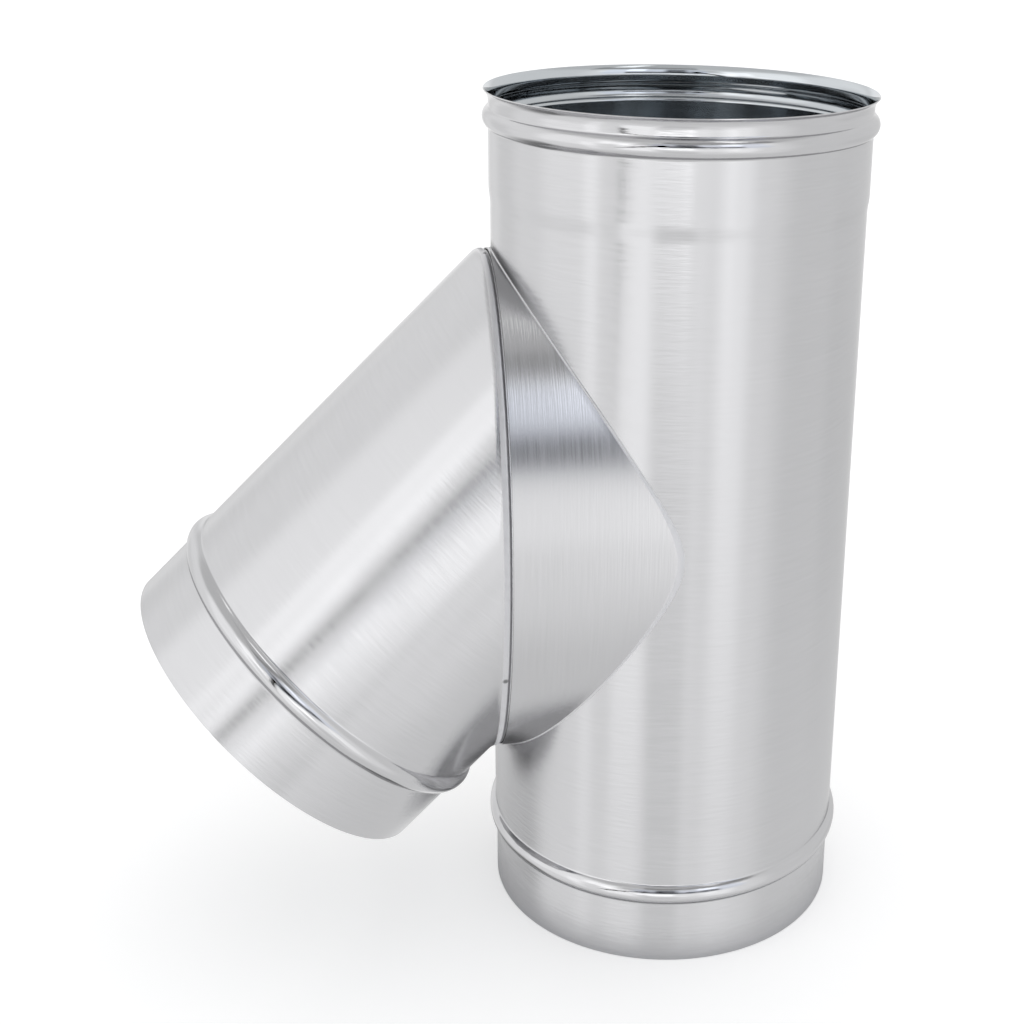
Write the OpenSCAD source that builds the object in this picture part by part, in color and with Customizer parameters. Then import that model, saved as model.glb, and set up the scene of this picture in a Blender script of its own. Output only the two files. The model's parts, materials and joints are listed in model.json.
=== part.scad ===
// Single wall stove pipe tee, bore 150, with a branch that leaves downwards at 45 degrees.
// The origin is the centre of the bottom rim. The pipe stands along +Z and the branch points to -X.
// Three sheet metal pieces: the rolled main pipe, the elliptical saddle collar that is welded onto
// its side, and the branch pipe, whose turned-in end fits inside the collar.

/* [Pipe] */
// Inner diameter of the pipe body
pipe_bore = 150; // [80:1:250]
// Thickness of the sheet
sheet_t = 0.5; // [0.4:0.1:1.2]
// Straight wall between the bottom bead and the foot of the collar
lower_run = 37.3; // [10:1:200]
// Straight wall between the top of the collar and the step up to the socket
upper_run = 18.7; // [6:1:200]

/* [Spigots] */
// Length of both spigots, up to their stop beads
spigot_l = 27; // [15:1:60]
// How much smaller than the pipe body a spigot is, on the radius
spigot_step = 0.6; // [0.2:0.1:1.5]

/* [Socket] */
// Straight wall of the socket, below its gasket bead
socket_l = 24; // [12:1:60]
// How much larger than the pipe body the socket is, on the radius
socket_step = 0.6; // [0.2:0.1:1.5]
// Height of the cone that joins the body to the socket
cone_l = 5; // [2:0.5:12]
// Straight neck between the gasket bead and the flared lip
neck_l = 2.0; // [1:0.1:10]

/* [Lip] */
// Radius of the flare at the lip
flare_r = 5.2; // [2:0.1:10]
// Angle that the flare turns outwards
flare_angle = 52; // [20:1:80]

/* [Beads] */
// How far the beads stand out from the wall
bead_h = 2.4; // [1:0.1:4]
// Radius of the crown of the two stop beads
stop_crown_r = 4.9; // [4:0.1:8]
// Radius of the crown of the gasket bead
gasket_crown_r = 4.3; // [4:0.1:8]
// Radius of the hollow fillets beside every bead
bead_fillet_r = 1.2; // [0.8:0.1:3]

/* [Collar] */
// How far inside the pipe's own width the widest line of the collar lies
collar_inset = 0.8; // [0.3:0.1:8]
// How much taller than the branch's oval the collar stands, at its top and at its foot
collar_rise = 0.2; // [0:0.1:5]
// Length of the collar at its top and foot, where it is shortest
collar_l = 1.2; // [0.6:0.1:20]
// Width of main pipe wall that the collar's edge seats on, inside the collar
seat_w = 1.2; // [0.6:0.1:4]

/* [Branch] */
// Angle between the branch and the main pipe
branch_angle = 45; // [40:1:70]
// Straight wall on the branch's short side, between its crease and its bead
short_side_l = 8.4; // [7:0.1:150]
// Length on each side of the crease that its rounding takes
crease_l = 2.0; // [0.5:0.1:5]
// Flat band between the rounding and the shoulder
band_l = 0.3; // [0.1:0.1:6]
// Length of the shoulder that steps down from the band to the cuff
shoulder_l = 1.4; // [0.6:0.1:4]
// Width of the groove between the shoulder and the edge of the collar
groove_w = 0.4; // [0.1:0.1:2]
// How deep the cuff reaches into the collar
cuff_l = 8; // [3:0.5:20]
// Clearance between the cuff and the inside of the collar, at the sides
cuff_gap = 0.1; // [0.05:0.05:0.5]
// Clearance between the cuff and the inside of the collar, at the top and foot
cuff_gap_top = 0.5; // [0.1:0.1:2]

/* [Hidden] */
$fn = 96;
ARC_STEP = 7; // degrees of an arc between two points of a profile
OVAL_POINTS = 120; // corners of an oval
CREASE_STEPS = 5; // facets along the rounding of the crease, and along the shoulder
LAP = 0.1; // how far inside the tube's outer face its turned end starts
EPS = 0.01;
STEEL = [0.79, 0.79, 0.81];
BRUSHED = [0.72, 0.73, 0.76];

body_r = pipe_bore / 2 + sheet_t;
spigot_r = body_r - spigot_step;
socket_r = body_r + socket_step;

// The branch's oval in any upright plane is this much higher than it is wide
oval = 1 / sin(branch_angle);
collar_a = body_r - collar_inset;
collar_b = body_r * oval + collar_rise;
cuff_a = collar_a - sheet_t - cuff_gap;
cuff_b = collar_b - sheet_t - cuff_gap_top;

// Heights of the main pipe, from the bottom rim up
stop_low = half_bead(spigot_r, body_r + bead_h, stop_crown_r);
stop_up = half_bead(body_r, body_r + bead_h, stop_crown_r);
gasket_half = half_bead(socket_r, socket_r + bead_h, gasket_crown_r);
stop_z = spigot_l + stop_low;
collar_z = stop_z + stop_up + lower_run + collar_b;
cone_z = collar_z + collar_b + upper_run;
socket_z = cone_z + cone_l;
gasket_z = socket_z + socket_l + gasket_half;
neck_z = gasket_z + gasket_half;
flare_z = neck_z + neck_l;

// Edge of the collar, crease of the branch, and length of the branch's axis from there to the rim
seam_x = -body_r - collar_l;
band_w = crease_l + band_l + shoulder_l + groove_w;
crease_x = seam_x - band_w;
branch_l = body_r / tan(branch_angle) + short_side_l + stop_up + stop_low + spigot_l;

// Half the width of a bead on a wall, from the radius of its wall, crest and crown
function half_bead(wall_r, crest_r, crown_r) =
    let (h = crest_r - wall_r, reach = crown_r + bead_fillet_r) sqrt(h * (2 * reach - h));

// Points on an arc round a centre, from one angle to the other
function arc(centre, r, from, to) =
    let (n = max(2, ceil(abs(to - from) / ARC_STEP)))
    [for (i = [0:n]) let (a = from + (to - from) * i / n) centre + r * [cos(a), sin(a)]];

// Lower half of a bead in the r-z plane, from its wall to just below its crest
function bead_rise(wall_r, crest_r, crown_r, z) =
    let (
        w = half_bead(wall_r, crest_r, crown_r),
        turn = asin(w / (crown_r + bead_fillet_r)),
        crown = arc([crest_r - crown_r, z], crown_r, -turn, 0)
    )
    concat(
        arc([wall_r + bead_fillet_r, z - w], bead_fillet_r, 180, 180 - turn),
        [for (i = [1:len(crown) - 1]) crown[i]]
    );

// The same points upside down about a height, from the top one down to the wall
function mirrored(points, z) =
    [for (i = [len(points) - 1:-1:0]) [points[i][0], 2 * z - points[i][1]]];

// A whole bead with a wall of its own below and above, crest written once
function bead(low_r, up_r, crest_r, crown_r, z) =
    let (down = mirrored(bead_rise(up_r, crest_r, crown_r, z), z))
    concat(bead_rise(low_r, crest_r, crown_r, z), [for (i = [1:len(down) - 1]) down[i]]);

// Outward normal of a stretch of an outline that runs upwards
function outward(a, b) = let (d = (b - a) / norm(b - a)) [d[1], -d[0]];

// The face one sheet thickness inside an outline
function inside_face(path) =
    let (n = len(path) - 1)
    [for (i = [0:n])
        let (
            below = outward(path[max(i - 1, 0)], path[max(i, 1)]),
            above = outward(path[min(i, n - 1)], path[min(i + 1, n)])
        )
        path[i] - sheet_t * (below + above) / (1 + below * above)];

// A sheet wall turned about the Z axis, from the outline of its outer face
module turned_sheet(path) {
    inner = inside_face(path);
    rotate_extrude()
        polygon(concat(path, [for (i = [len(inner) - 1:-1:0]) inner[i]]));
}

// Corners of an oval from its half width and half height
function oval_points(a, b) =
    [for (i = [0:OVAL_POINTS - 1]) let (t = 360 * i / OVAL_POINTS) [a * cos(t), b * sin(t)]];

// An upright oval prism that runs along X
module oval_prism(a, b, length) {
    rotate([90, 0, 90])
        linear_extrude(length)
            polygon(oval_points(a, b));
}

// Space filled by the main pipe, and a gap round it
module pipe_core(gap = 0) {
    cylinder(r = body_r + gap, h = flare_z);
}

module main_pipe() {
    outline = concat(
        [[spigot_r, 0]],
        bead(spigot_r, body_r, body_r + bead_h, stop_crown_r, stop_z),
        [[body_r, cone_z], [socket_r, socket_z]],
        bead(socket_r, socket_r, socket_r + bead_h, gasket_crown_r, gasket_z),
        arc([socket_r + flare_r, flare_z], flare_r, 180, 180 - flare_angle)
    );
    color(STEEL)
        difference() {
            turned_sheet(outline);
            translate([seam_x, 0, collar_z])
                oval_prism(collar_a - sheet_t - seat_w, collar_b - sheet_t - seat_w, -seam_x);
        }
}

module saddle_collar() {
    color(BRUSHED)
        translate([seam_x, 0, collar_z])
            difference() {
                oval_prism(collar_a, collar_b, -seam_x);
                translate([-EPS, 0, 0])
                    oval_prism(collar_a - sheet_t, collar_b - sheet_t, 2 * EPS - seam_x);
                translate([-seam_x, 0, -collar_z])
                    pipe_core();
            }
}

// The branch pipe's rolled part, along +Z from the crease at the origin to its rim
module branch_tube() {
    stop_s = branch_l - spigot_l - stop_low;
    outline = concat(
        [[spigot_r, -branch_l]],
        bead(spigot_r, body_r, body_r + bead_h, stop_crown_r, -stop_s),
        [[body_r, body_r / tan(branch_angle) + short_side_l]]
    );
    mirror([0, 0, 1])
        turned_sheet(outline);
}

// Point of the rounded crease, from the tube at 0 to the band at 1, in the X-Z plane
function crease_point(s) =
    crease_l * ((1 - s) * (1 - s) * [-sin(branch_angle), -cos(branch_angle)] + s * s * [1, 0]);

// Sections of the turned end as [x, z, half width, half height], from the tube to inside the collar
function end_sections() =
    let (
        a = body_r - LAP,
        b = a * oval,
        shoulder = crease_l + band_l,
        steps = [for (i = [0:CREASE_STEPS]) i / CREASE_STEPS]
    )
    concat(
        [for (s = steps) let (p = crease_point(s)) [p[0], p[1], a, b]],
        [for (s = steps)
            let (e = s * s * (3 - 2 * s))
            [shoulder + shoulder_l * s, 0, a + (cuff_a - a) * e, b + (cuff_b - b) * e]],
        [[band_w + cuff_l, 0, cuff_a, cuff_b]]
    );

// The turned end: rounded crease, band, shoulder and cuff, as one skin with an inner face
module turned_end() {
    outer = end_sections();
    n = len(outer);
    rings = concat(
        outer,
        [for (i = [n - 1:-1:0])
            [outer[i][0], outer[i][1], outer[i][2] - sheet_t, outer[i][3] - sheet_t * oval]]
    );
    points = [for (r = rings) for (q = oval_points(r[2], r[3])) [r[0], q[0], r[1] + q[1]]];
    faces = [
        for (k = [0:2 * n - 1]) for (i = [0:OVAL_POINTS - 1])
        let (
            j = (i + 1) % OVAL_POINTS,
            this = k * OVAL_POINTS,
            next = (k + 1) % (2 * n) * OVAL_POINTS
        )
        each [[this + i, next + i, this + j], [this + j, next + i, next + j]]
    ];
    polyhedron(points, faces);
}

module branch_pipe() {
    cut = crease_point(0);
    big = 2 * branch_l;
    color(STEEL)
        difference() {
            translate([crease_x, 0, collar_z])
                union() {
                    difference() {
                        rotate([0, 180 + branch_angle, 0])
                            branch_tube();
                        translate([cut[0], -big / 2, -big / 2])
                            cube(big);
                    }
                    turned_end();
                }
            pipe_core(cuff_gap);
        }
}

main_pipe();
saddle_collar();
branch_pipe();
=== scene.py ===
"""A single wall stove pipe tee in brushed stainless steel, standing on a pale studio floor."""
import json
import math

import bmesh
import bpy
from mathutils import Euler, Matrix, Vector


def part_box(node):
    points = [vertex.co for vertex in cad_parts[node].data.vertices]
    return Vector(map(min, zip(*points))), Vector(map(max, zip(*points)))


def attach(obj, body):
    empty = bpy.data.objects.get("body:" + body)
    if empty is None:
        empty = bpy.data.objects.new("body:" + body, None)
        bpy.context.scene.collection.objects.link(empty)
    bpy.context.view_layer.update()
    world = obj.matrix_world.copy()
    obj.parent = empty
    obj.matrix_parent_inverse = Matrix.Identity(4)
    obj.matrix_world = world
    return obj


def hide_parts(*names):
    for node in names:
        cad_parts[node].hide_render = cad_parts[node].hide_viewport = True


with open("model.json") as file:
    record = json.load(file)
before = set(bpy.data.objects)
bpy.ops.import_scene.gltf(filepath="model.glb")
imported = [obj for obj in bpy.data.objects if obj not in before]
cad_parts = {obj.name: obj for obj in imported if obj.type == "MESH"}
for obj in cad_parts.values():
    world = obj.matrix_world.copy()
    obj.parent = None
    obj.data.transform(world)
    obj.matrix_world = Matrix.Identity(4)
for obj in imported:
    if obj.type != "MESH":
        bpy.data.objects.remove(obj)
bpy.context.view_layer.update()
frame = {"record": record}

# Sizes of the main pipe, in metres. What the frame holds is read from it
MM = 0.001
SHEET = 0.5 * MM
mounts = {m["name"]: m for m in frame["record"]["mounts"]}
SPIGOT_R = mounts["bottom_spigot"]["dims"]["r_mm"] * MM
SPIGOT_L = mounts["bottom_spigot"]["dims"]["length_mm"] * MM
SOCKET_R = mounts["socket"]["dims"]["r_mm"] * MM + SHEET
SOCKET_L = mounts["socket"]["dims"]["length_mm"] * MM
SOCKET_Z = mounts["socket"]["pos_m"][2] - SOCKET_L / 2
BODY_R = 75.5 * MM
CONE_H = 5 * MM
CONE_FILLET = 1.6 * MM
NECK_H = 2.0 * MM
FLARE_R = 5.2 * MM
FLARE_ANGLE = 52
PIPE_AXIS = Vector((0, 0, 1))

# Beads: how far they stand out, the radius of their crowns and of the hollow fillets beside them
BEAD_H = 2.4 * MM
STOP_CROWN_R = 4.9 * MM
GASKET_CROWN_R = 4.3 * MM
BEAD_FILLET_R = 1.2 * MM
STOP_CREST_R = BODY_R + BEAD_H
GASKET_CREST_R = SOCKET_R + BEAD_H

# The collar: its edge at the branch, half width, half height and middle, its seat on the pipe and its hem
collar_low, collar_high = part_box("saddle_collar")
SEAM_X = collar_low.x
COLLAR_A = collar_high.y
COLLAR_B = (collar_high.z - collar_low.z) / 2
COLLAR_Z = (collar_high.z + collar_low.z) / 2
COLLAR_AXIS = Vector((1, 0, 0))
SEAT = 1.2 * MM
HEM_L = 0.5 * MM
HEM_H = 0.35 * MM
# How fast the hem grows beside the collar's widest line, where the collar runs flush into the pipe
HEM_GROWTH = 4

# The branch: a tube, and its turned end with a crease, a band, a shoulder, a groove and a cuff
BRANCH_ANGLE = math.radians(45)
BRANCH_AXIS = Vector((-math.sin(BRANCH_ANGLE), 0, -math.cos(BRANCH_ANGLE)))
SHORT_SIDE = 8.4 * MM
CREASE_L = 2.0 * MM
BAND_L = 0.3 * MM
SHOULDER_L = 1.4 * MM
GROOVE = 0.4 * MM
CUFF_L = 8 * MM
CUFF_GAP = 0.1 * MM
CUFF_GAP_TOP = 0.5 * MM
CREASE_X = SEAM_X - CREASE_L - BAND_L - SHOULDER_L - GROOVE

# Rounding of the sheet's cut edges, where its faces meet at more than an angle in degrees
EDGE_ROUND = 0.12 * MM
SHARP_ANGLE = 50

# How finely walls are divided: round the axis, along arcs in degrees, and along straight walls
SEGMENTS = 288
ARC_STEP = 6
RING_STEP = 9 * MM
# Distance from the end of a straight wall to its first ring, which keeps the shading flat
SUPPORT = 0.15 * MM
CORNER_STEPS = 5
TURN_STEPS = 8
HEM_STEPS = 6
COLLAR_STEPS = 12
# Shares of the collar's length at which two more sections stand close to its seam
NEAR_SEAM = (0.02, 0.06)
WALL_STEPS = 24
# Share of the branch's wall between either end and the section next to it
WALL_END = 0.002
# How often an edge is halved to find where it meets the oval
HALVINGS = 30

# Steel: tone, tint as the shares of green and blue above red, roughness, and the brush marks' sizes
# The sizes of the marks are their length round the piece, their width and their depth
TONE = 0.78
TINT = (0, 0.02)
SATIN = 0.21
PIPE_FINISH = dict(tone=TONE, tint=TINT, roughness=SATIN, mark=(12 * MM, 1.3 * MM, 0.08 * MM))
BRANCH_FINISH = dict(tone=TONE, tint=TINT, roughness=SATIN, mark=(14 * MM, 1.2 * MM, 0.05 * MM))
COLLAR_FINISH = dict(tone=0.76, tint=TINT, roughness=0.16, mark=(22 * MM, 0.6 * MM, 0.045 * MM))
# The insides are painted darker and bluer than the outside, as painted shade of the dark interior
SHADED_INSIDE_FINISH = dict(tone=0.68, tint=(0.05, 0.09), roughness=0.12, mark=(16 * MM, 1.3 * MM, 0.006 * MM))
# Strength of the bump, stretch of the highlights, and the turn that lays them across the marks
BUMP = 0.7
STRETCH = 0.85
QUARTER_TURN = 0.25

# Fine hairs and wide clouds among the brush marks: length and width
HAIR = (40 * MM, 0.5 * MM)
CLOUD = (60 * MM, 25 * MM)
# What brush, hair and cloud add to the tone, and to the roughness as a share of it
BRUSH_SHADE, HAIR_SHADE, CLOUD_SHADE = 0.05, 0.035, 0.04
BRUSH_ROUGH, HAIR_ROUGH, CLOUD_ROUGH = 0.5, 0.35, 0.4

# Smoother rolled beads and lips: roughness, and half the length of a stretch with its softness
ROLLED = 0.11
ROLLED_INSIDE = 0.08
ROLLED_HALF = 4.5 * MM
ROLLED_SOFT = 0.5 * MM
# A distance past every piece
FAR = 1.0

# Painted reflection on the pipe beside the collar's upper edge, a dark stand-in for the collar mirrored in
# it: it fades between two squared distances from the oval's middle, which are 1 on the oval itself, and
# grows from a share of the oval's half height up to its top
REFLECTION_FROM = 1.02
REFLECTION_TO = 1.10
REFLECTION_LOW = 0.80
REFLECTION_DARK = 0.85

# Painted highlight along the collar's edge on the main pipe, where the edge is also rougher
EDGE_SOFT = 0.15 * MM
EDGE_HIGHLIGHT = 0.25
EDGE_ROUGH = 0.35

# Ripples in the branch's band, and spots of painted shade in the seam between collar and cuff, as their
# place and radius
RIPPLE = 1.6 * MM
RIPPLE_HEIGHT = 4.0
BAND_START = CREASE_X + 0.4 * MM
BAND_SOFT = 0.3 * MM
# The band is painted lighter by this share, painted light over the dark room that it mirrors
BAND_PAINTED_LIGHT = 0.15
BAND_ROUGH = 0.30
SEAM_SHADE_SPOTS = ((Vector((-79.2, -67.2, 133.0)) * MM, 1.6 * MM), (Vector((-78.6, -3.0, 288.2)) * MM, 1.2 * MM))
SHADE_SPOT_CORE = 0.3
SHADE_SPOT_DARK = 0.75

# Camera, from the photograph's frame of 1024 pixels: the place it stands at, where it points and its lens
PHOTO_SIZE = 1024
CAMERA_AT = Vector((-146.73, -630.50, 437.82)) * MM
CAMERA_YAW = math.radians(12.32)
CAMERA_PITCH = math.radians(-18.56)
CAMERA_ROLL = math.radians(1.34)
FOCAL_PIXELS = 1628.5
CENTRE_PIXEL = (651.9, 403.4)
SENSOR_MM = 36
CLIP_START = 10 * MM

# What the metal mirrors, as soft windows: azimuth from and to, height from and to, softness, brightness
# Azimuth runs in degrees from the front, which is -Y, to the right. A brightness below 0 darkens
ROOM_LEVEL = 0.66
NO_LIMIT = 400
SOFT_WINDOWS = {
    "wash of the front and left": (-165, 52, -45, 44, 12, 0.14),
    "left wall": (-100, -58, -12, 50, 8, 0.16),
    "key light": (-60, -41, 11, 36, 4, 0.35),
    "narrow strip on the left": (-70, -61, -35, 12, 3, 0.13),
    "wide strip on the left": (-48, -28, -30, 20, 4, 0.27),
    "strip on the right": (13, 31, -30, 6, 6, 0.20),
    "glow at table height": (-27, -5, -9, 4, 3, 0.62),
    "low glow": (-20, 4, -26, -8, 4, 0.08),
    "front glow": (-10, 20, -16, 6, 3, 0.14),
    "grey floor in front": (-24, -2, -42, -16, 4, -0.14),
    "dark doorway": (-24, 24, 10.5, 22, 1.5, -0.66),
    "dark gap above it": (-16, -2, 20, 41, 3, -0.60),
    "dim gap beside it": (-38, -16, 24, 41, 4, -0.22),
    "lamp on the right": (12, 25, 27, 45, 2, 0.55),
    "glow right of the lamp": (25, 45, 24, 35, 3, 0.12),
    "dark line below the ceiling": (-25, 60, 44, 57, 1.5, -0.22),
    "dark ceiling in front": (-25, 60, 42, NO_LIMIT, 3, -0.06),
    "dim ceiling": (-NO_LIMIT, NO_LIMIT, 46, NO_LIMIT, 6, -0.12),
    "skylight": (30, 52, 58, 76, 3, 0.80),
    "skylight behind": (136, 152, 57, 72, 3, 0.75),
    "grey wall on the right": (95, 140, -26, -12, 6, -0.05),
    "grey wall on the left": (-152, -128, -25, 12, 8, -0.09),
    "shadow on the table": (-180, -107, -85, -33, 9, -0.55),
    "backdrop on the right": (152, NO_LIMIT, -60, 20, 8, 0.20),
    "backdrop on the left": (-NO_LIMIT, -172, -30, 20, 6, 0.20),
}
# A pole that leans as the branch does: azimuth and height of one point on it, half its width, how far
# it reaches to each side, its softness as a share of either, and its brightness
POLE_AROUND = -34.5
POLE_HEIGHT = 7.5
POLE_HALF = 1.9
POLE_REACH = 13
POLE_SOFT = 1 / 3
POLE_DARK = -1.35
# Where the room is bluish, and the colour of its light there
BLUE_ROOM = (-30, 40, 9, 42, 3)
BLUE_LIGHT = (0.94, 0.976, 1.06, 1)
WHITE = (1, 1, 1, 1)
# What a ray loses that has bounced from wall to wall, as told by its depth. The world counts one more
BOUNCE_LOSS = 0.4
WORLD_BOUNCES = 2.5
FLOOR_BOUNCES = 1.5

# The floor: its light from the world, its white, its glow for the camera, its half width and its place
FLOOR_LIGHT = 0.9
FLOOR_WHITE = (0.8, 0.8, 0.8, 1)
FLOOR_GLOW = 0.42
FLOOR_HALF = 40
FLOOR_Z = -0.05 * MM
# The metal mirrors the whole floor up to one distance from the pipe's axis, and nothing past the other
MIRRORED_TO = 76 * MM
CLEAR_FROM = 95 * MM


def lerp(a, b, t):
    """The value a share t of the way from a to b."""
    return a + (b - a) * t


def smooth_step(t):
    """0 to 1 with a level start and end."""
    return t * t * (3 - 2 * t)


def even_steps(count):
    """Shares from 0 to 1 in even steps."""
    return [i / count for i in range(count + 1)]


def parabola(start, corner, end, t):
    """Point of a curve that leaves its start towards a corner, and reaches its end from there."""
    return start * (1 - t) ** 2 + corner * 2 * t * (1 - t) + end * t * t


# Outlines of turned walls, as points (radius, height)
def arc(centre, radius, start, end):
    """Points on an arc, from one angle to another in degrees."""
    count = max(2, math.ceil(abs(end - start) / ARC_STEP))
    angles = [math.radians(lerp(start, end, t)) for t in even_steps(count)]
    return [(centre[0] + radius * math.cos(a), centre[1] + radius * math.sin(a)) for a in angles]


def half_bead(wall, crest, crown):
    """Half the width of a bead on a wall, from the radius of its wall, crest and crown."""
    height = crest - wall
    return math.sqrt(height * (2 * (crown + BEAD_FILLET_R) - height))


def bead_rise(wall, crest, crown, z):
    """Lower half of a bead, from its wall up to its crest."""
    width = half_bead(wall, crest, crown)
    turn = math.degrees(math.asin(width / (crown + BEAD_FILLET_R)))
    fillet = arc((wall + BEAD_FILLET_R, z - width), BEAD_FILLET_R, 180, 180 - turn)
    return fillet + arc((crest - crown, z), crown, -turn, 0)[1:]


def bead(low_wall, up_wall, crest, crown, z):
    """A whole bead between two walls."""
    upper = [(r, 2 * z - h) for r, h in bead_rise(up_wall, crest, crown, z)]
    return bead_rise(low_wall, crest, crown, z) + upper[-2::-1]


def rounded(before, corner, after, reach):
    """A corner of an outline as a short curve that starts and ends at a distance from it."""
    corner = Vector(corner)
    start = corner + (Vector(before) - corner).normalized() * reach
    end = corner + (Vector(after) - corner).normalized() * reach
    return [tuple(parabola(start, corner, end, t)) for t in even_steps(CORNER_STEPS)]


def spaced(points):
    """The outline with more points on its straight walls: close to both ends, and even between them."""
    result = [points[0]]
    for a, b in zip(points, points[1:]):
        length = math.dist(a, b)
        if length > 4 * SUPPORT:
            inner = length - 2 * SUPPORT
            count = max(1, math.ceil(inner / RING_STEP))
            shares = [(SUPPORT + inner * t) / length for t in even_steps(count)]
            result += [(lerp(a[0], b[0], t), lerp(a[1], b[1], t)) for t in shares]
        result.append(b)
    return result


# Heights of the beads on the main pipe, and places along the branch as distances from its crease
STOP_LOW = half_bead(SPIGOT_R, STOP_CREST_R, STOP_CROWN_R)
STOP_UP = half_bead(BODY_R, STOP_CREST_R, STOP_CROWN_R)
STOP_Z = SPIGOT_L + STOP_LOW
GASKET_HALF = half_bead(SOCKET_R, GASKET_CREST_R, GASKET_CROWN_R)
GASKET_Z = SOCKET_Z + SOCKET_L + GASKET_HALF
FLARE_Z = GASKET_Z + GASKET_HALF + NECK_H
BRANCH_WALL_L = BODY_R / math.tan(BRANCH_ANGLE) + SHORT_SIDE
BRANCH_STOP = BRANCH_WALL_L + STOP_UP
BRANCH_RIM = BRANCH_STOP + STOP_LOW + SPIGOT_L


# Meshes
def finished(name, bm, materials):
    """Makes the object of an open sheet surface, and gives it its thickness and rounded edges."""
    mesh = bpy.data.meshes.new(name)
    for face in bm.faces:
        face.smooth = True
    bm.to_mesh(mesh)
    bm.free()
    piece = bpy.data.objects.new(name, mesh)
    bpy.context.scene.collection.objects.link(piece)
    for material in materials:
        mesh.materials.append(material)
    wall = piece.modifiers.new("sheet", "SOLIDIFY")
    wall.thickness = SHEET
    wall.offset = -1
    wall.use_even_offset = True
    wall.material_offset = 1
    edge = piece.modifiers.new("edges", "BEVEL")
    edge.width = EDGE_ROUND
    edge.segments = 2
    edge.limit_method = "ANGLE"
    edge.angle_limit = math.radians(SHARP_ANGLE)
    edge.harden_normals = True
    return piece


def wrap(bm, turn_of):
    """Writes a UV map that runs once round the piece, from a function that gives a vertex's share of it."""
    layer = bm.loops.layers.uv.new("round")
    for face in bm.faces:
        turns = [turn_of(loop.vert) for loop in face.loops]
        high = max(turns)
        for loop, turn in zip(face.loops, turns):
            loop[layer].uv = (turn + (1 if high - turn > 0.5 else 0), loop.vert.co.z)


def face_outwards(bm):
    """Makes the faces of an open surface look away from the Z axis."""
    bmesh.ops.recalc_face_normals(bm, faces=bm.faces)
    facing = sum(face.normal.xy.dot(face.calc_center_median().xy) * face.calc_area() for face in bm.faces)
    if facing < 0:
        bmesh.ops.reverse_faces(bm, faces=bm.faces)


def turned(outline):
    """A sheet surface turned about the Z axis from its outline."""
    bm = bmesh.new()
    verts = [bm.verts.new((r, 0, z)) for r, z in outline]
    edges = [bm.edges.new(pair) for pair in zip(verts, verts[1:])]
    bmesh.ops.spin(bm, geom=verts + edges, cent=(0, 0, 0), axis=PIPE_AXIS, angle=2 * math.pi,
                   steps=SEGMENTS, use_merge=True)
    bmesh.ops.remove_doubles(bm, verts=bm.verts, dist=1e-6)
    face_outwards(bm)
    return bm


def cut_oval(bm, half_width, half_height, centre_z):
    """Cuts an upright oval hole in the -X side of a turned surface, with its edge on the oval."""
    def beyond(co):
        return (co.y / half_width) ** 2 + ((co.z - centre_z) / half_height) ** 2 - 1

    shares = {}
    for edge in bm.edges:
        a, b = edge.verts
        if a.co.x < 0 and b.co.x < 0 and beyond(a.co) * beyond(b.co) < 0:
            low, high = 0.0, 1.0
            for _ in range(HALVINGS):
                middle = (low + high) / 2
                same_side = beyond(a.co.lerp(b.co, middle)) * beyond(a.co) > 0
                low, high = (middle, high) if same_side else (low, middle)
            shares[edge] = low
    made = bmesh.ops.bisect_edges(bm, edges=list(shares), cuts=1, edge_percents=shares)
    rim = [g for g in made["geom_split"] if isinstance(g, bmesh.types.BMVert)]
    bmesh.ops.connect_verts(bm, verts=rim)
    inside = [f for f in bm.faces
              if f.calc_center_median().x < 0 and beyond(f.calc_center_median()) < 0]
    bmesh.ops.delete(bm, geom=inside, context="FACES")


def lofted(sections):
    """A sheet surface through closed sections, each a function from an angle to a point."""
    bm = bmesh.new()
    turn = bm.verts.layers.float.new("turn")
    ring = bmesh.ops.create_circle(bm, segments=SEGMENTS, radius=1)["verts"]
    for i, vert in enumerate(ring):
        vert[turn] = i / SEGMENTS
        vert.co = sections[0](2 * math.pi * vert[turn])
    edges = list(bm.edges)
    for section in sections[1:]:
        made = bmesh.ops.extrude_edge_only(bm, edges=edges)["geom"]
        for vert in (g for g in made if isinstance(g, bmesh.types.BMVert)):
            vert.co = section(2 * math.pi * vert[turn])
        edges = [g for g in made if isinstance(g, bmesh.types.BMEdge)
                 and all(v in made for v in g.verts)]
    bmesh.ops.recalc_face_normals(bm, faces=bm.faces)
    wrap(bm, lambda vert: vert[turn])
    return bm


# Shapes of the three pieces
def wall_x(y, gap=0.0):
    """X of the main pipe's outer face on the branch's side, at a distance y from the plane of both axes."""
    return -math.sqrt(max((BODY_R + gap) ** 2 - y * y, 0))


def main_outline():
    """Outer face of the main pipe, from the bottom rim to the lip."""
    cone_low, cone_high = (BODY_R, SOCKET_Z - CONE_H), (SOCKET_R, SOCKET_Z)
    return (
        [(SPIGOT_R, 0)]
        + bead(SPIGOT_R, BODY_R, STOP_CREST_R, STOP_CROWN_R, STOP_Z)
        + rounded((BODY_R, 0), cone_low, cone_high, CONE_FILLET)
        + rounded(cone_low, cone_high, (SOCKET_R, GASKET_Z), CONE_FILLET)
        + bead(SOCKET_R, SOCKET_R, GASKET_CREST_R, GASKET_CROWN_R, GASKET_Z)
        + arc((SOCKET_R + FLARE_R, FLARE_Z), FLARE_R, 180, 180 - FLARE_ANGLE)
    )


def make_main_pipe():
    """The rolled main pipe, with the hole for the branch in its side."""
    bm = turned(spaced(main_outline()))
    cut_oval(bm, COLLAR_A - SHEET - SEAT, COLLAR_B - SHEET - SEAT, COLLAR_Z)
    wrap(bm, lambda vert: math.atan2(vert.co.y, vert.co.x) / (2 * math.pi) + 0.5)
    return finished("main_pipe_wall", bm, (pipe_steel(), pipe_inside()))


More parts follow.
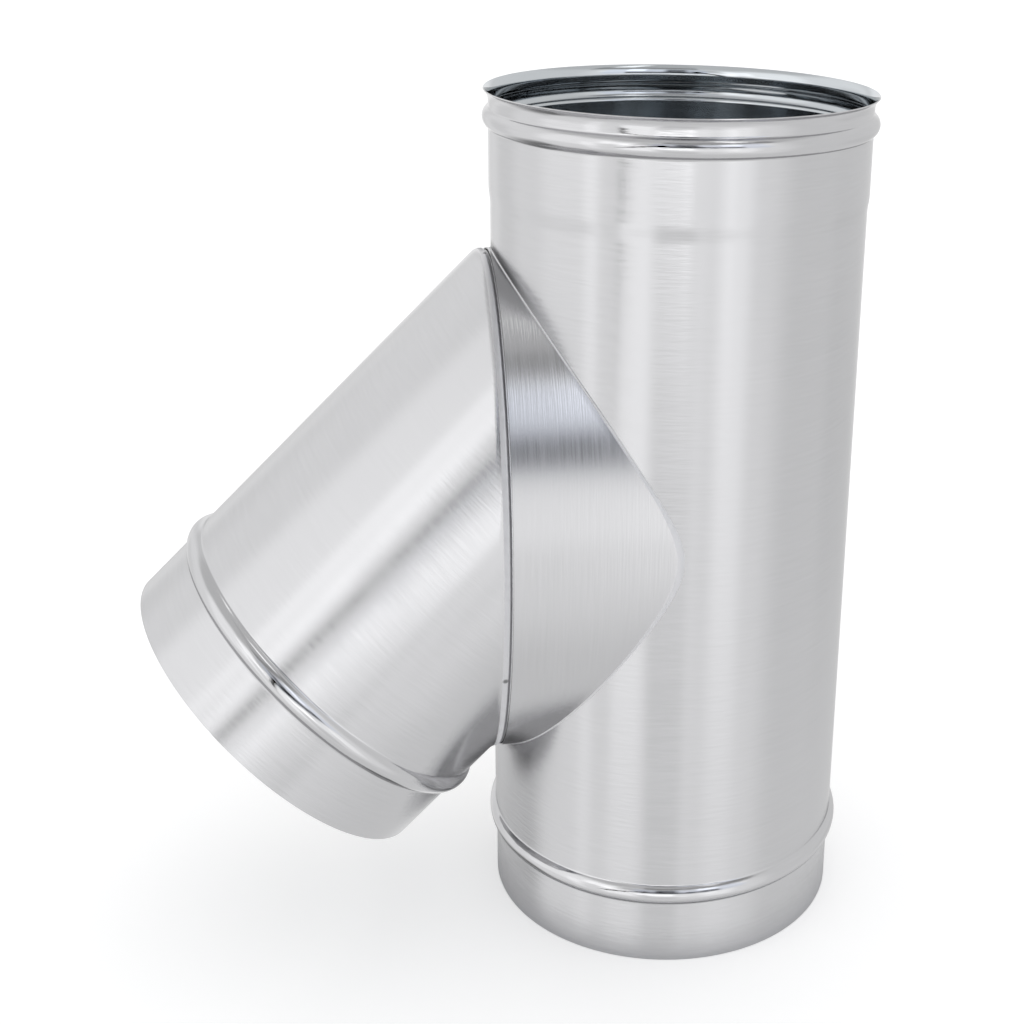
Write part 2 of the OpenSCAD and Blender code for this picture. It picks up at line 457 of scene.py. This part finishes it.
def collar_point(angle, share, back=0.0, out=0.0):
    """Point of the collar: share of the way to the pipe, less a distance back, and a distance out."""
    y, z = COLLAR_A * math.cos(angle), COLLAR_B * math.sin(angle)
    normal = Vector((0, math.cos(angle) / COLLAR_A, math.sin(angle) / COLLAR_B)).normalized()
    steep = 1 - abs(normal.y * y / BODY_R)
    x = max(lerp(SEAM_X, wall_x(y), share) - back, SEAM_X)
    return Vector((x, y, COLLAR_Z + z)) + normal * out * min(1, HEM_GROWTH * steep)


def make_collar():
    """The oval saddle collar, with a small hem turned out along the main pipe."""
    shares = [0, *NEAR_SEAM, *even_steps(COLLAR_STEPS)[1:-1]]
    sections = [lambda a, s=s: collar_point(a, s, HEM_L * s) for s in shares]
    hem = even_steps(HEM_STEPS)
    sections += [lambda a, t=t: collar_point(a, 1, HEM_L * (1 - t), HEM_H * t * t) for t in hem]
    return finished("saddle_collar_wall", lofted(sections), (collar_steel(), collar_inside()))


def branch_sections():
    """Closed sections of the branch pipe, from its rim to the end of its cuff inside the collar."""
    over = Vector((-math.cos(BRANCH_ANGLE), 0, math.sin(BRANCH_ANGLE)))
    centre = Vector((CREASE_X, 0, COLLAR_Z))
    oval = 1 / math.sin(BRANCH_ANGLE)
    cuff_a = COLLAR_A - SHEET - CUFF_GAP
    cuff_b = COLLAR_B - SHEET - CUFF_GAP_TOP
    shoulder = CREASE_L + BAND_L

    def tube(angle, radius, s):
        side = Vector((0, math.cos(angle), 0)) + over * math.sin(angle)
        return centre + BRANCH_AXIS * s + side * radius

    def crease(angle):
        return tube(angle, BODY_R, -BODY_R * math.sin(angle) / math.tan(BRANCH_ANGLE))

    def wall(angle, share):
        start = tube(angle, BODY_R, BRANCH_WALL_L)
        return start.lerp(crease(angle) + BRANCH_AXIS * CREASE_L, share)

    def turn(angle, t):
        corner = crease(angle)
        return parabola(corner + BRANCH_AXIS * CREASE_L, corner, corner + Vector((CREASE_L, 0, 0)), t)

    def end(angle, x, share):
        a, b = lerp(BODY_R, cuff_a, share), lerp(BODY_R * oval, cuff_b, share)
        y = a * math.cos(angle)
        return Vector((min(CREASE_X + x, wall_x(y, CUFF_GAP)), y, COLLAR_Z + b * math.sin(angle)))

    stop_bead = bead(SPIGOT_R, BODY_R, STOP_CREST_R, STOP_CROWN_R, BRANCH_RIM - BRANCH_STOP)
    outline = spaced([(SPIGOT_R, 0)] + stop_bead)
    wall_shares = [WALL_END, *even_steps(WALL_STEPS)[1:-1], 1 - WALL_END]
    turn_steps = even_steps(TURN_STEPS)
    cuff = [shoulder + SHOULDER_L + d for d in (SUPPORT, GROOVE, GROOVE + CUFF_L)]
    return (
        [lambda a, r=r, z=z: tube(a, r, BRANCH_RIM - z) for r, z in outline]
        + [lambda a, s=s: wall(a, s) for s in wall_shares]
        + [lambda a, t=t: turn(a, t) for t in turn_steps]
        + [lambda a, t=t: end(a, shoulder + SHOULDER_L * t, smooth_step(t)) for t in turn_steps]
        + [lambda a, x=x: end(a, x, 1) for x in cuff]
    )


def make_branch():
    """The branch pipe, whose turned end fits inside the collar."""
    return finished("branch_pipe_wall", lofted(branch_sections()), (branch_steel(), branch_inside()))


# Shader arithmetic
class Value:
    """A shader socket that takes part in Python arithmetic."""

    def __init__(self, shader, socket):
        self.shader = shader
        self.socket = socket

    def other(self, output):
        """Another output of the same node."""
        return Value(self.shader, self.socket.node.outputs[output])

    def __add__(self, other):
        return self.shader.maths("ADD", self, other)

    def __sub__(self, other):
        return self.shader.maths("SUBTRACT", self, other)

    def __rsub__(self, other):
        return self.shader.maths("SUBTRACT", other, self)

    def __mul__(self, other):
        return self.shader.maths("MULTIPLY", self, other)

    def __truediv__(self, other):
        return self.shader.maths("DIVIDE", self, other)

    __radd__ = __add__
    __rmul__ = __mul__


class Shader:
    """The nodes of one material or world."""

    def __init__(self, owner):
        owner.use_nodes = True
        self.tree = owner.node_tree
        self.tree.nodes.clear()

    def node(self, kind, settings=None, inputs=None, output=0):
        """Adds a node: its settings first, then the values or links of its sockets. Gives one output."""
        made = self.tree.nodes.new(kind)
        for name, value in (settings or {}).items():
            setattr(made, name, value)
        for key, value in (inputs or {}).items():
            if isinstance(value, Value):
                self.tree.links.new(value.socket, made.inputs[key])
            else:
                made.inputs[key].default_value = value
        return Value(self, made.outputs[output]) if made.outputs else None

    def maths(self, operation, a, b=0.0):
        """A Math node on one or two numbers."""
        return self.node("ShaderNodeMath", {"operation": operation}, {0: a, 1: b})

    def vector(self, operation, inputs, output="Vector"):
        """A Vector Math node."""
        return self.node("ShaderNodeVectorMath", {"operation": operation}, inputs, output)

    def ramp(self, value, low, high, start=0.0, end=1.0):
        """A smooth change from start, where the value is low, to end, where it is high."""
        return self.node("ShaderNodeMapRange", {"interpolation_type": "SMOOTHSTEP"},
                         {"Value": value, "From Min": low, "From Max": high, "To Min": start, "To Max": end})

    def window(self, value, low, high, soft):
        """1 between two limits and 0 outside them, with soft edges."""
        rise = self.ramp(value, low - soft, low + soft)
        fall = self.ramp(value, high - soft, high + soft)
        return rise * (1 - fall)

    def number(self, factor, a, b):
        """A mix of two numbers."""
        return self.node("ShaderNodeMix", {"data_type": "FLOAT"}, {0: factor, 2: a, 3: b})

    def colour(self, factor, a, b):
        """A mix of two colours."""
        return self.node("ShaderNodeMix", {"data_type": "RGBA"}, {0: factor, 6: a, 7: b}, 2)


def split(s, place):
    """The X, Y and Z of a place or direction."""
    x = s.node("ShaderNodeSeparateXYZ", {}, {0: place})
    return x, x.other("Y"), x.other("Z")


# Steel
def grey(level, tint):
    """A near neutral grey with a little more green and blue, by the shares of a tint."""
    return (level, level * (1 + tint[0]), level * (1 + tint[1]), 1)


def marks(s, place, across, axis, long, wide, detail):
    """Noise round 0 whose marks are long round a piece's axis and narrow along it."""
    scaled = s.vector("SCALE", {0: place, "Scale": 1 / long})
    push = s.vector("SCALE", {0: axis, "Scale": across * (1 / wide - 1 / long)})
    both = s.vector("ADD", {0: scaled, 1: push})
    noise = s.node("ShaderNodeTexNoise", {},
                   {"Vector": both, "Scale": 1, "Detail": detail, "Roughness": 0.55})
    return noise - 0.5


def brushed_steel(name, axis, tone, tint, roughness, mark, rolled=(), extra=None):
    """Satin stainless sheet, brushed round an axis, and smoother where a bead or lip is rolled.

    The rolled stretches are (from, to, roughness, tone) along the axis. Extra is a function of the shader
    and its place that gives a share of darkening, a height for the bump and a roughness to add.
    """
    material = bpy.data.materials.new(name)
    s = Shader(material)
    long, wide, deep = mark
    place = s.node("ShaderNodeTexCoord", output="Object")
    across = s.vector("DOT_PRODUCT", {0: place, 1: axis}, "Value")
    brush = marks(s, place, across, axis, long, wide, 3)
    hair = marks(s, place, across, axis, *HAIR, 2)
    cloud = marks(s, place, across, axis, *CLOUD, 3)
    level, rough, height = tone, roughness, brush
    for low, high, rolled_roughness, rolled_tone in rolled:
        here = s.window(across, low, high, ROLLED_SOFT)
        rough = rough + here * (rolled_roughness - roughness)
        level = level + here * (rolled_tone - tone)
    level = level + (brush * BRUSH_SHADE + hair * HAIR_SHADE + cloud * CLOUD_SHADE)
    if extra:
        darker, ripple, rougher = extra(s, place)
        level = level * (1 - darker)
        height = height + ripple
        rough = rough + rougher
    rough = rough * (1 + brush * BRUSH_ROUGH + hair * HAIR_ROUGH + cloud * CLOUD_ROUGH)
    base = s.colour(level, grey(0, tint), grey(1, tint))
    bump = s.node("ShaderNodeBump", {}, {"Strength": BUMP, "Distance": deep, "Height": height})
    turn = s.node("ShaderNodeTangent", {"direction_type": "UV_MAP", "uv_map": "round"})
    steel = s.node("ShaderNodeBsdfPrincipled", {}, {
        "Base Color": base, "Metallic": 1.0, "Roughness": rough, "Normal": bump,
        "Anisotropic": STRETCH, "Anisotropic Rotation": QUARTER_TURN, "Tangent": turn})
    s.node("ShaderNodeOutputMaterial", {}, {"Surface": steel})
    return material


def rolled_bead(crest):
    """The smoother stretch along a bead, from the place of its crest along the axis."""
    return (crest - ROLLED_HALF, crest + ROLLED_HALF, ROLLED, TONE)


def painted_collar_reflection(s, place):
    """Painted dark reflection of the collar on the main pipe, beside the collar's upper edge."""
    x, y, z = split(s, place)
    across = y / COLLAR_A
    up = (z - COLLAR_Z) / COLLAR_B
    near = s.ramp(across * across + up * up, REFLECTION_FROM, REFLECTION_TO, 1.0, 0.0)
    high = s.ramp(up, REFLECTION_LOW, 1.0)
    branch_side = s.window(x, -FAR, 0, 1 * MM)
    return near * high * branch_side * REFLECTION_DARK, 0.0, 0.0


def pipe_steel():
    """The outside of the main pipe, smoother at its stop bead and from the gasket bead to the lip."""
    gasket_and_lip = (GASKET_Z - ROLLED_HALF, FAR, ROLLED, TONE)
    return brushed_steel("pipe_steel", PIPE_AXIS, **PIPE_FINISH,
                         rolled=(rolled_bead(STOP_Z), gasket_and_lip), extra=painted_collar_reflection)


def pipe_inside():
    """The inside of the main pipe, darker and bluer with painted shade, smoother and brighter at its lip,
    which keeps the outside's tone.
    """
    lip = (GASKET_Z + ROLLED_HALF, FAR, ROLLED_INSIDE, TONE)
    return brushed_steel("pipe_steel_inside", PIPE_AXIS, **SHADED_INSIDE_FINISH, rolled=(lip,))


def painted_edge_highlight(s, place):
    """The edge of the collar that lies on the main pipe: a painted highlight makes it brighter, and it is
    rougher.
    """
    x, y = split(s, place)[:2]
    radius = s.maths("SQRT", x * x + y * y)
    edge = s.window(radius, 0, BODY_R + HEM_L, EDGE_SOFT)
    return edge * -EDGE_HIGHLIGHT, 0.0, edge * EDGE_ROUGH


def collar_steel():
    """The outside of the collar, with fine marks round it, and a painted highlight along its edge."""
    return brushed_steel("collar_steel", COLLAR_AXIS, **COLLAR_FINISH, extra=painted_edge_highlight)


def collar_inside():
    """The inside of the collar, darker and bluer with painted shade."""
    return brushed_steel("collar_steel_inside", COLLAR_AXIS, **SHADED_INSIDE_FINISH)


def rippled_band(s, place):
    """Small ripples in the branch's band, where its end was turned in, painted light on the band, and
    painted shade spots in the seam.
    """
    x = split(s, place)[0]
    ripple = s.node("ShaderNodeTexNoise", {},
                    {"Vector": place, "Scale": 1 / RIPPLE, "Detail": 1, "Roughness": 0.4})
    band = s.window(x, BAND_START, SEAM_X - GROOVE, BAND_SOFT)
    darker = band * -BAND_PAINTED_LIGHT
    for spot, size in SEAM_SHADE_SPOTS:
        away = s.vector("DISTANCE", {0: place, 1: spot}, "Value")
        darker = darker + s.ramp(away, SHADE_SPOT_CORE * size, size, SHADE_SPOT_DARK, 0.0)
    return darker, band * (ripple - 0.5) * RIPPLE_HEIGHT, band * BAND_ROUGH


def branch_steel():
    """The outside of the branch, smoother at its stop bead and rippled in its band."""
    crest = Vector((CREASE_X, 0, COLLAR_Z)).dot(BRANCH_AXIS) + BRANCH_STOP
    return brushed_steel("branch_steel", BRANCH_AXIS, **BRANCH_FINISH,
                         rolled=(rolled_bead(crest),), extra=rippled_band)


def branch_inside():
    """The inside of the branch, darker and bluer with painted shade."""
    return brushed_steel("branch_steel_inside", BRANCH_AXIS, **SHADED_INSIDE_FINISH)


# Studio
def room_window(s, around, height, left, right, low, high, soft):
    """1 in a soft window of the room and 0 outside it."""
    return s.window(around, left, right, soft) * s.window(height, low, high, soft)


def leaning_pole(s, direction, around):
    """1 on the leaning pole and 0 beside it. It leans in the plane of the branch's axis."""
    point = Vector((0, -1, 0))
    point.rotate(Euler((math.radians(-POLE_HEIGHT), 0, math.radians(POLE_AROUND))))
    beside = BRANCH_AXIS.cross(point).normalized()
    off_pole = s.vector("DOT_PRODUCT", {0: direction, 1: beside}, "Value")
    half = math.sin(math.radians(POLE_HALF))
    pole = s.window(off_pole, -half, half, half * POLE_SOFT)
    near = s.window(around, POLE_AROUND - POLE_REACH, POLE_AROUND + POLE_REACH, POLE_REACH * POLE_SOFT)
    return pole * near


def make_world():
    """The studio as the metal mirrors it. The camera sees plain white, and the floor is lit evenly."""
    world = bpy.data.worlds.new("studio")
    bpy.context.scene.world = world
    s = Shader(world)
    direction = s.node("ShaderNodeTexCoord", output="Generated")
    x, y, z = split(s, direction)
    around = s.maths("ARCTAN2", x, y * -1) * (180 / math.pi)
    height = s.maths("ARCSINE", z) * (180 / math.pi)
    level = ROOM_LEVEL
    for *limits, brightness in SOFT_WINDOWS.values():
        level = level + room_window(s, around, height, *limits) * brightness
    level = level + leaning_pole(s, direction, around) * POLE_DARK
    rays = s.node("ShaderNodeLightPath")
    camera = rays.other("Is Camera Ray")
    bounced = s.maths("GREATER_THAN", rays.other("Ray Depth"), WORLD_BOUNCES)
    level = level * (1 - bounced * BOUNCE_LOSS)
    mirrored = s.number(rays.other("Is Diffuse Ray"), level, FLOOR_LIGHT)
    shown = s.number(camera, mirrored, 1.0)
    blue = room_window(s, around, height, *BLUE_ROOM) * (1 - camera)
    sky = s.node("ShaderNodeBackground", {},
                 {"Color": s.colour(blue, WHITE, BLUE_LIGHT), "Strength": shown})
    s.node("ShaderNodeOutputWorld", {}, {"Surface": sky})


def floor_white():
    """A matt white that glows for the camera, and that the metal mirrors only close to the pipe."""
    material = bpy.data.materials.new("floor_white")
    s = Shader(material)
    rays = s.node("ShaderNodeLightPath")
    camera = rays.other("Is Camera Ray")
    glossy = rays.other("Is Glossy Ray")
    bounced = s.maths("GREATER_THAN", rays.other("Ray Depth"), FLOOR_BOUNCES)
    place = s.node("ShaderNodeTexCoord", output="Object")
    distance = s.vector("LENGTH", {0: place}, "Value")
    away = s.node("ShaderNodeMapRange", {},
                  {"Value": distance, "From Min": MIRRORED_TO, "From Max": CLEAR_FROM})
    matt = s.node("ShaderNodeBsdfDiffuse", {}, {"Color": FLOOR_WHITE})
    glow = s.node("ShaderNodeEmission", {}, {"Color": WHITE, "Strength": camera * FLOOR_GLOW})
    lit = s.node("ShaderNodeAddShader", {}, {0: matt, 1: glow})
    dimmed = s.node("ShaderNodeMixShader", {}, {0: glossy * bounced * BOUNCE_LOSS, 1: lit})
    clear = s.node("ShaderNodeBsdfTransparent")
    shown = s.node("ShaderNodeMixShader", {}, {0: glossy * away, 1: dimmed, 2: clear})
    s.node("ShaderNodeOutputMaterial", {}, {"Surface": shown})
    return material


def make_floor():
    """A wide white floor that keeps a soft shadow."""
    mesh = bpy.data.meshes.new("studio_floor")
    bm = bmesh.new()
    bmesh.ops.create_grid(bm, x_segments=1, y_segments=1, size=FLOOR_HALF)
    bm.to_mesh(mesh)
    bm.free()
    mesh.materials.append(floor_white())
    floor = bpy.data.objects.new("studio_floor", mesh)
    bpy.context.scene.collection.objects.link(floor)
    floor.location.z = FLOOR_Z


def make_camera():
    """The camera at the photograph's place, with its lens and its off-centre frame."""
    data = bpy.data.cameras.new("camera")
    camera = bpy.data.objects.new("camera", data)
    bpy.context.scene.collection.objects.link(camera)
    bpy.context.scene.camera = camera
    forward = Vector((math.sin(CAMERA_YAW) * math.cos(CAMERA_PITCH),
                      math.cos(CAMERA_YAW) * math.cos(CAMERA_PITCH), math.sin(CAMERA_PITCH)))
    right = Vector((math.cos(CAMERA_YAW), -math.sin(CAMERA_YAW), 0))
    up = right.cross(forward)
    tilted_right = right * math.cos(CAMERA_ROLL) + up * math.sin(CAMERA_ROLL)
    tilted_up = up * math.cos(CAMERA_ROLL) - right * math.sin(CAMERA_ROLL)
    turn = Matrix((tilted_right, tilted_up, -forward)).transposed()
    camera.matrix_world = Matrix.Translation(CAMERA_AT) @ turn.to_4x4()
    data.sensor_width = SENSOR_MM
    data.lens = FOCAL_PIXELS / PHOTO_SIZE * SENSOR_MM
    data.shift_x = (PHOTO_SIZE / 2 - CENTRE_PIXEL[0]) / PHOTO_SIZE
    data.shift_y = (CENTRE_PIXEL[1] - PHOTO_SIZE / 2) / PHOTO_SIZE
    data.clip_start = CLIP_START


make_camera()
make_world()
make_floor()
bpy.context.scene.view_settings.view_transform = "Standard"

pieces = (
    (make_main_pipe(), "main_pipe", "pipe_steel"),
    (make_collar(), "saddle_collar", "collar_steel"),
    (make_branch(), "branch_pipe", "pipe_steel"),
)
for piece, node, slot in pieces:
    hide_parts(node)
    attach(piece, "root")
